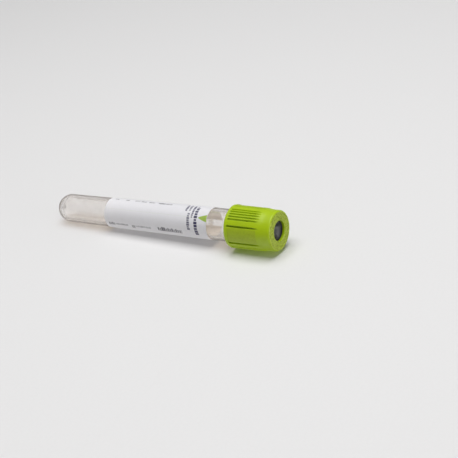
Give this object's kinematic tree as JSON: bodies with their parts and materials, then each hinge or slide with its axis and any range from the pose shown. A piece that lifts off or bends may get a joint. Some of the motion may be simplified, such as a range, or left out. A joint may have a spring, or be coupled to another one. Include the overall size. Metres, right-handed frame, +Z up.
{
  "type": "blood collection tube",
  "caption": "Clear round-bottomed plastic sample tube with a wrap label, a rubber stopper and a ribbed green safety cap; it stands on the cap, and the tube pulls out of it.",
  "frame": {"origin": "on the surface it stands on, in the middle of the cap's flat end; it stands on its cap because it would roll if it lay on its side", "axes": "+Z up along the tube, from the cap to the round bottom; -Y to the printed front of the label, whose clear window runs along the back, 19 degrees from +Y towards +X"},
  "size_m": [0.017, 0.017, 0.1065],
  "materials": {
    "clear_plastic": "clear, polished",
    "stopper_rubber": "dark grey rubber, satin",
    "cap_plastic": "lime green moulded plastic, satin, finely textured end face",
    "label_paper": "white coated paper"
  },
  "bodies": {
    "tube_body": {"tube": "clear_plastic", "label": "label_paper"},
    "closure": {"safety_cap": "cap_plastic", "stopper": "stopper_rubber"}
  },
  "joints": [
    {"name": "closure_pull", "type": "slide", "parent": "closure", "child": "tube_body", "axis": [0, 0, 1], "range_m": [0, 0.02]}
  ]
}
